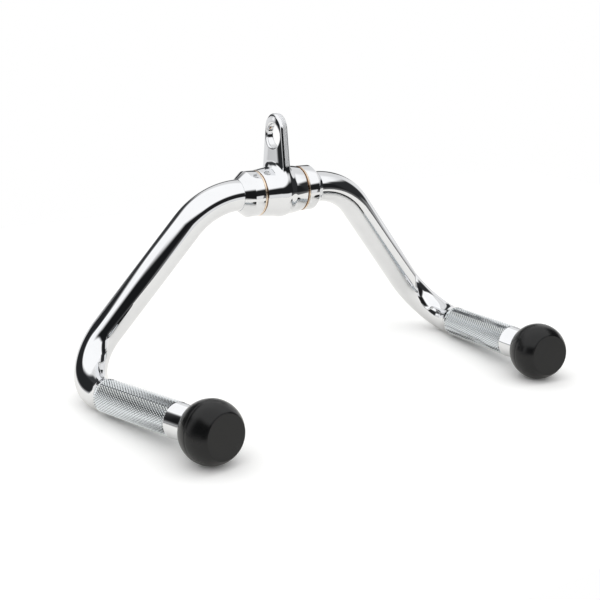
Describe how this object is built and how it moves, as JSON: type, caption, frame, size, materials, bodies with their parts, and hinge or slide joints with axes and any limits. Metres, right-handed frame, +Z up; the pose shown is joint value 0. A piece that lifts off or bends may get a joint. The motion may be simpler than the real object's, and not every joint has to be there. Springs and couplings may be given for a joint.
{
  "type": "cable handle",
  "caption": "Bent chrome bar with knurled grips, rubber ball ends and a revolving eye hanger between collars, for a cable machine.",
  "frame": {"origin": "middle of the handle's outline on the floor it stands on", "axes": "+X along the middle of the bar to the right, grips point towards -Y, +Z up"},
  "size_m": [0.41, 0.223, 0.2299],
  "materials": {
    "chromed_bar": "bright chrome plate, knurled on the grips",
    "chromed_casting": "bright chrome plate on a polished casting",
    "chromed_collar": "bright chrome plate on turned steel",
    "bronze_bush": "turned bearing bronze",
    "black_rubber": "satin moulded rubber"
  },
  "bodies": {
    "handle": {"bar": "chromed_bar", "left_collar": "chromed_collar", "right_collar": "chromed_collar", "left_ball_end": "black_rubber", "right_ball_end": "black_rubber"},
    "hanger": {"swivel_hanger": "chromed_casting", "left_flange_bush": "bronze_bush", "right_flange_bush": "bronze_bush"}
  },
  "joints": [
    {"name": "hanger_swivel", "type": "hinge", "parent": "handle", "child": "hanger", "pos_m": [0, 0.08026, 0.16054], "axis": [1, 0, 0], "continuous": true}
  ]
}
